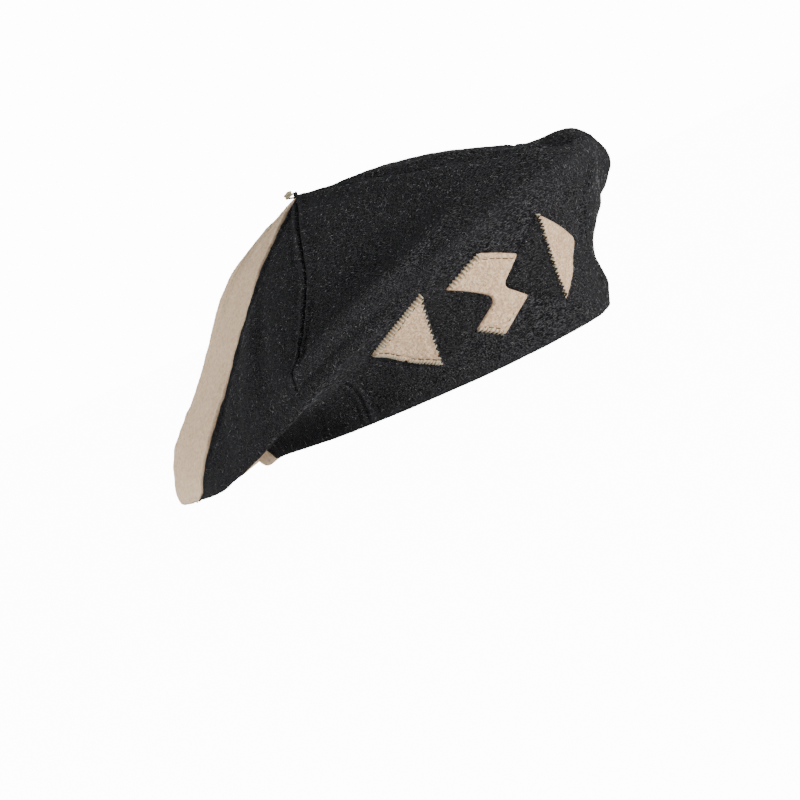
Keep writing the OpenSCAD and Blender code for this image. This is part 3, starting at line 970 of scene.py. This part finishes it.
def along_edge(loop, edges, which, pitch, trim=0.6):
    """Points, inward directions and run along one edge of an outline."""
    pts = loop[edges == which]
    if np.linalg.norm(pts[0] - pts[-1]) < 1e-6:
        pts = pts[:-1]
    gaps = np.linalg.norm(np.diff(pts, axis=0), axis=1)
    if gaps.max() > 3 * np.median(gaps):  # the edge wraps round the list's end
        cut = gaps.argmax() + 1
        pts = np.concatenate([pts[cut:], pts[:cut]])
        gaps = np.linalg.norm(np.diff(pts, axis=0), axis=1)
    run = np.concatenate([[0], np.cumsum(gaps)])
    s = np.arange(trim, run[-1] - trim, pitch)
    x = np.interp(s, run, pts[:, 0])
    y = np.interp(s, run, pts[:, 1])
    x2, y2 = np.interp(s + 0.3, run, pts[:, 0]), np.interp(s + 0.3, run, pts[:, 1])
    x1, y1 = np.interp(s - 0.3, run, pts[:, 0]), np.interp(s - 0.3, run, pts[:, 1])
    t = unit(np.stack([x2 - x1, y2 - y1], 1))
    return np.stack([x, y], 1), np.stack([-t[:, 1], t[:, 0]], 1), t


def whip(loop, edges, which, thick, pitch=1.5, reach=1.7, out=0.45, slant=0.5, seed=1):
    """Whip stitches over a patch's edge."""
    r = np.random.default_rng(seed)
    paths = []
    for p, inward, t in zip(*along_edge(loop, edges, which, pitch)):
        p = p + t * r.normal(0, 0.12)
        far = reach * r.uniform(0.85, 1.1)
        d = np.array([-out, -out * 0.6, 0.0, 0.5, far * 0.5, far * 0.85, far])
        over_edge = [thick * 0.72, thick + 0.18, thick + 0.30, thick + 0.16, thick - 0.25]
        h = np.array([-0.15, 0.25] + over_edge)
        k = (d + out) / (far + out)
        xy = p + inward * d[:, None] + t * (slant * (k - 0.5) * r.uniform(0.8, 1.2))[:, None]
        paths.append(on_cloth(xy, h + 0.12))
    return paths


def zigzag(loop, edges, which, thick, pitch=0.95, reach=0.75, out=0.75, seed=2):
    """One long zigzag thread along an edge."""
    r = np.random.default_rng(seed)
    pts = []
    for i, (p, inward, _) in enumerate(zip(*along_edge(loop, edges, which, pitch, 0.2))):
        d = (reach if i % 2 else -out) * r.uniform(0.85, 1.15)
        pts.append((*(p + inward * d), (thick + 0.22) if i % 2 else 0.28))
    pts = np.array(pts)
    k = np.linspace(0, len(pts) - 1, len(pts) * 4 - 3)
    x, y, h = (np.interp(k, np.arange(len(pts)), pts[:, i]) for i in range(3))
    between = np.abs(k - np.round(k)) > 0.3
    return [on_cloth(np.stack([x, y], 1), h + 0.12 + 0.25 * between)]


def running(loop, edges, which, thick, inset=2.3, pitch=3.4, seed=3):
    """Short running stitches lying in the channel inside an edge."""
    r = np.random.default_rng(seed)
    paths = []
    for p, inward, t in zip(*along_edge(loop, edges, which, pitch, 3.0)):
        k = np.linspace(-0.5, 0.5, 6)
        ln = r.uniform(2.0, 2.7)
        xy = p + inward * (inset + r.normal(0, 0.08)) + t * (k * ln)[:, None]
        h = thick - 0.3 + 0.16 * np.cos(math.pi * k)
        paths.append(on_cloth(xy, h + 0.12))
    return paths


# slot and material of a patch
CREAM = ("patch_cream", cream_patch)
DARK = ("patch_black", black_patch)
# corners as (angle, height v) on the front gore
TRI_RIGHT = [(225.4, 0.53), (231.0, 0.255), (239.0, 0.133), (240.9, 0.82)]
BOLT = [
    (250.0, 0.225), (256.5, 0.135), (265.6, 0.27), (259.5, 0.4), (265.5, 0.56),
    (256.0, 0.775), (246.4, 0.64), (257.6, 0.35),
]
TRI_LEFT = [(277.5, 0.15), (282.5, 0.245), (286.5, 0.43), (273.0, 0.77)]
DARK_RIGHT = [
    (238.7, 0.13), (250.0, 0.225), (257.2, 0.35), (246.4, 0.635), (241.0, 0.81), (239.6, 0.6),
]
DARK_LEFT = [(277.5, 0.15), (273.0, 0.77), (265.5, 0.56), (259.9, 0.4), (265.6, 0.27)]

patch(
    "patch_dark_right_felt", "patch_dark_right", *DARK, DARK_RIGHT, [1, 1, 5, 1, 1, 2], 0.7, lift=0.05
)
patch("patch_dark_left_felt", "patch_dark_left", *DARK, DARK_LEFT, [1, 1, 1, 4, 1], 0.7, lift=0.05)
t_right = patch(
    "patch_triangle_right_felt", "patch_triangle_right", *CREAM, TRI_RIGHT,
    [1.0, 8.0, 1.0, 1.0], PATCH_T, channel=(0, 1, 3),
)
bolt = patch(
    "patch_bolt_felt", "patch_bolt", *CREAM, BOLT,
    [1, 1.2, 1, 4.5, 1, 2, 1.2, 6.5], PATCH_T, channel=(0, 4),
)
t_left = patch(
    "patch_triangle_left_felt", "patch_triangle_left", *CREAM, TRI_LEFT,
    [1.0, 2.5, 3.0, 1.0], PATCH_T,
)

cream_paths = whip(*t_right, 0, PATCH_T, seed=21)
cream_paths += whip(*t_right, 1, PATCH_T, seed=27)
cream_paths += whip(*t_right, 3, PATCH_T, seed=22)
cream_paths += whip(*bolt, 5, PATCH_T, pitch=1.8, seed=23)
cream_paths += whip(*bolt, 0, PATCH_T, pitch=2.0, seed=24)
cream_paths += whip(*t_right, 2, PATCH_T, pitch=3.2, reach=1.2, out=0.1, seed=25)
cream_paths += whip(*t_left, 3, PATCH_T, pitch=3.4, reach=1.0, out=0.1, seed=26)
done(threads("patch_stitches_cream", cream_paths, 0.42), "thread_cream", material=cream_thread)
dark_paths = zigzag(*t_right, 2, PATCH_T, seed=31) + zigzag(*t_left, 3, PATCH_T, seed=32)
done(threads("patch_stitches_black", dark_paths, 0.32), "patch_black", material=black_thread)
brown_paths = []
for shape, edge in ((t_right, 0), (t_right, 1), (t_right, 3), (bolt, 0), (bolt, 4), (bolt, 1)):
    brown_paths += running(*shape, edge, PATCH_T)
done(threads("patch_channel_thread", brown_paths, 0.2), "thread_cream", material=brown_thread)


# ------------------------------------------------------------- loose fibres
black_fibre = fibre("black_fibre", rgb(0.02, 0.02, 0.022), rgb(0.34, 0.34, 0.35))
cream_fibre = fibre("cream_fibre", rgb(0.5, 0.38, 0.26), rgb(0.92, 0.82, 0.68))


def fuzz(slot, count, length, radius, lift, stray, material, seed):
    verts, tris, at = [], [], 0
    for v, t in FUZZ[slot]:
        verts.append(v)
        tris.append(t + at)
        at += len(v)
    spots = scatter(np.concatenate(verts), np.concatenate(tris), int(count * FINE**2), seed)
    hairs = fibres(slot + "_fibres", spots, length, radius, lift, stray, seed)
    done(hairs, slot, material=material)


fuzz("wool_black", 15000, 1.7, 0.055, 0.05, 0.10, black_fibre, 41)
fuzz("wool_cream", 8000, 1.6, 0.05, 0.05, 0.10, cream_fibre, 42)
fuzz("patch_cream", 1500, 1.1, 0.05, 0.06, 0.12, cream_fibre, 43)
fuzz("patch_black", 500, 1.3, 0.05, 0.05, 0.10, black_fibre, 44)


# --------------------------------------------------------------- crown tip
def turns(r, w, z):
    """A line that winds round the tip, z mm above it."""
    return np.stack([TIP[0] + r * np.cos(w), TIP[1] + r * np.sin(w), TIP[2] + z], 1)


def crown_tip():
    beside = TIP + np.array([-2.3, 1.6, 1.0])
    k = np.linspace(0, 1, 50)
    turn = k * 2 * math.pi * 3
    strands = [turns(0.6, turn + s, -3.8 + 5.6 * k) for s in (0, math.pi)]
    w = np.linspace(0, 2 * math.pi * 5, 150)
    r = 0.5 + 0.38 * w / (2 * math.pi)
    strands.append(turns(r, w, -0.9 - 0.12 * r * r))
    stem = threads("crown_stem_twist", strands, [0.6, 0.6, 0.36], 10)
    done(stem, "wool_black", "crown_stem", material=black_thread)
    w = np.linspace(0, 2 * math.pi * 1.7, 80)
    r = 1.9 - 0.3 * np.sin(w * 0.5) - 0.05 * w
    rise = 0.2 * w + 0.5 * np.sin(w + 0.6)
    curl = np.stack([r * np.cos(w + 2.5), r * np.sin(w + 2.5) * 0.8, rise], 1)
    loop = beside + curl @ np.array([[0.8, -0.5, 0.35], [0.55, 0.83, 0.05], [-0.3, 0.15, 0.94]])
    k = np.linspace(0, 1, 14)[:, None]
    tail = loop[-1] + k * np.array([-1.6, 1.4, -0.9]) + np.sin(2.6 * k) * np.array([0.2, 0.3, 0.6])
    knot_root = np.linspace(loop[0], TIP + np.array([0.0, 0.0, -0.6]), 8)
    paths = [loop, tail, knot_root]
    for j in (-1, 1):
        spread = k[:10] * np.array([0.9 * j, 0.7 * j, 0.4])
        paths.append(tail[4:] + spread + np.array([0.2, -0.15, 0.1]) * j)
    knot = threads("crown_knot_loops", paths, [0.62, 0.5, 0.5, 0.18, 0.18], 10)
    done(knot, "thread_cream", "crown_knot", material=olive_thread)


crown_tip()


# ------------------------------------------------------------ stage, lights
FLOOR_Z, FLOOR_R, FLOOR_SIDES = -300.0, 9000.0, 96


def stage():
    """A pale floor that looks white to the camera and isn't there from below."""
    n = Nodes("pale_floor")
    obj = n.coords.outputs["Object"]
    grain = n.noise(obj, 40.0, 3.0, 0.5)
    colour = n.mix(n.ramp(grain, 0.3, 0.7), rgb(0.86, 0.86, 0.86), rgb(0.9, 0.9, 0.9))
    n.bsdf.inputs["Roughness"].default_value = 0.9
    n.link(colour, n.bsdf.inputs["Base Color"])
    glow = n.add("ShaderNodeEmission")
    path = n.add("ShaderNodeLightPath")
    n.link(n.math("MULTIPLY", path.outputs["Is Camera Ray"], 13.0), glow.inputs["Strength"])
    both = n.add("ShaderNodeAddShader")
    n.link(n.bsdf.outputs[0], both.inputs[0])
    n.link(glow.outputs[0], both.inputs[1])
    gone = n.add("ShaderNodeBsdfTransparent")
    pick = n.add("ShaderNodeMixShader")
    side = n.add("ShaderNodeNewGeometry")
    n.link(side.outputs["Backfacing"], pick.inputs[0])
    n.link(both.outputs[0], pick.inputs[1])
    n.link(gone.outputs[0], pick.inputs[2])
    n.link(pick.outputs[0], n.out.inputs["Surface"])
    k = np.arange(FLOOR_SIDES)
    w = 2 * math.pi * k / FLOOR_SIDES
    ring = np.stack([FLOOR_R * np.cos(w), FLOOR_R * np.sin(w), np.full(FLOOR_SIDES, FLOOR_Z)], 1)
    verts = np.concatenate([ring, [[0, 0, FLOOR_Z]]])
    wedges = np.stack([k, (k + 1) % FLOOR_SIDES, np.full(FLOOR_SIDES, FLOOR_SIDES)], 1)
    floor = make_object("floor", verts, [wedges])
    floor.data.materials.append(n.mat)
    floor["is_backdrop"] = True


stage()


def area_light(name, at, size, watts, colour=(1, 1, 1)):
    data = bpy.data.lights.new(name, "AREA")
    data.shape = "DISK"
    data.size = size
    data.energy = watts
    data.color = colour
    lamp = bpy.data.objects.new(name, data)
    at = Vector(at)
    lamp.location = at
    lamp.rotation_mode = "QUATERNION"
    lamp.rotation_quaternion = (at - Vector((0, 0, 0.04))).to_track_quat("Z", "Y")
    bpy.context.scene.collection.objects.link(lamp)


area_light("key", across * 1.55 + over * 0.55 + back * 1.5, 0.8, 76, (1.0, 0.98, 0.95))
area_light("fill", -across * 2.0 - over * 0.3 + back * 0.2, 1.1, 40, (1.0, 0.985, 0.96))
area_light("top", over * 1.9 - back * 0.4 + across * 0.6, 1.2, 2)


def world():
    w = bpy.data.worlds.new("world")
    bpy.context.scene.world = w
    w.use_nodes = True
    t = w.node_tree
    t.nodes.clear()
    out = t.nodes.new("ShaderNodeOutputWorld")
    seen, felt = t.nodes.new("ShaderNodeBackground"), t.nodes.new("ShaderNodeBackground")
    seen.inputs["Color"].default_value = (1, 1, 1, 1)
    seen.inputs["Strength"].default_value = 14.0
    felt.inputs["Color"].default_value = (0.96, 0.98, 1, 1)
    felt.inputs["Strength"].default_value = 0.33
    path = t.nodes.new("ShaderNodeLightPath")
    mix = t.nodes.new("ShaderNodeMixShader")
    t.links.new(path.outputs["Is Camera Ray"], mix.inputs[0])
    t.links.new(felt.outputs[0], mix.inputs[1])
    t.links.new(seen.outputs[0], mix.inputs[2])
    t.links.new(mix.outputs[0], out.inputs["Surface"])


world()

boxes = [[list(map(float, corner)) for corner in box] for box in (cad_box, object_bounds())]
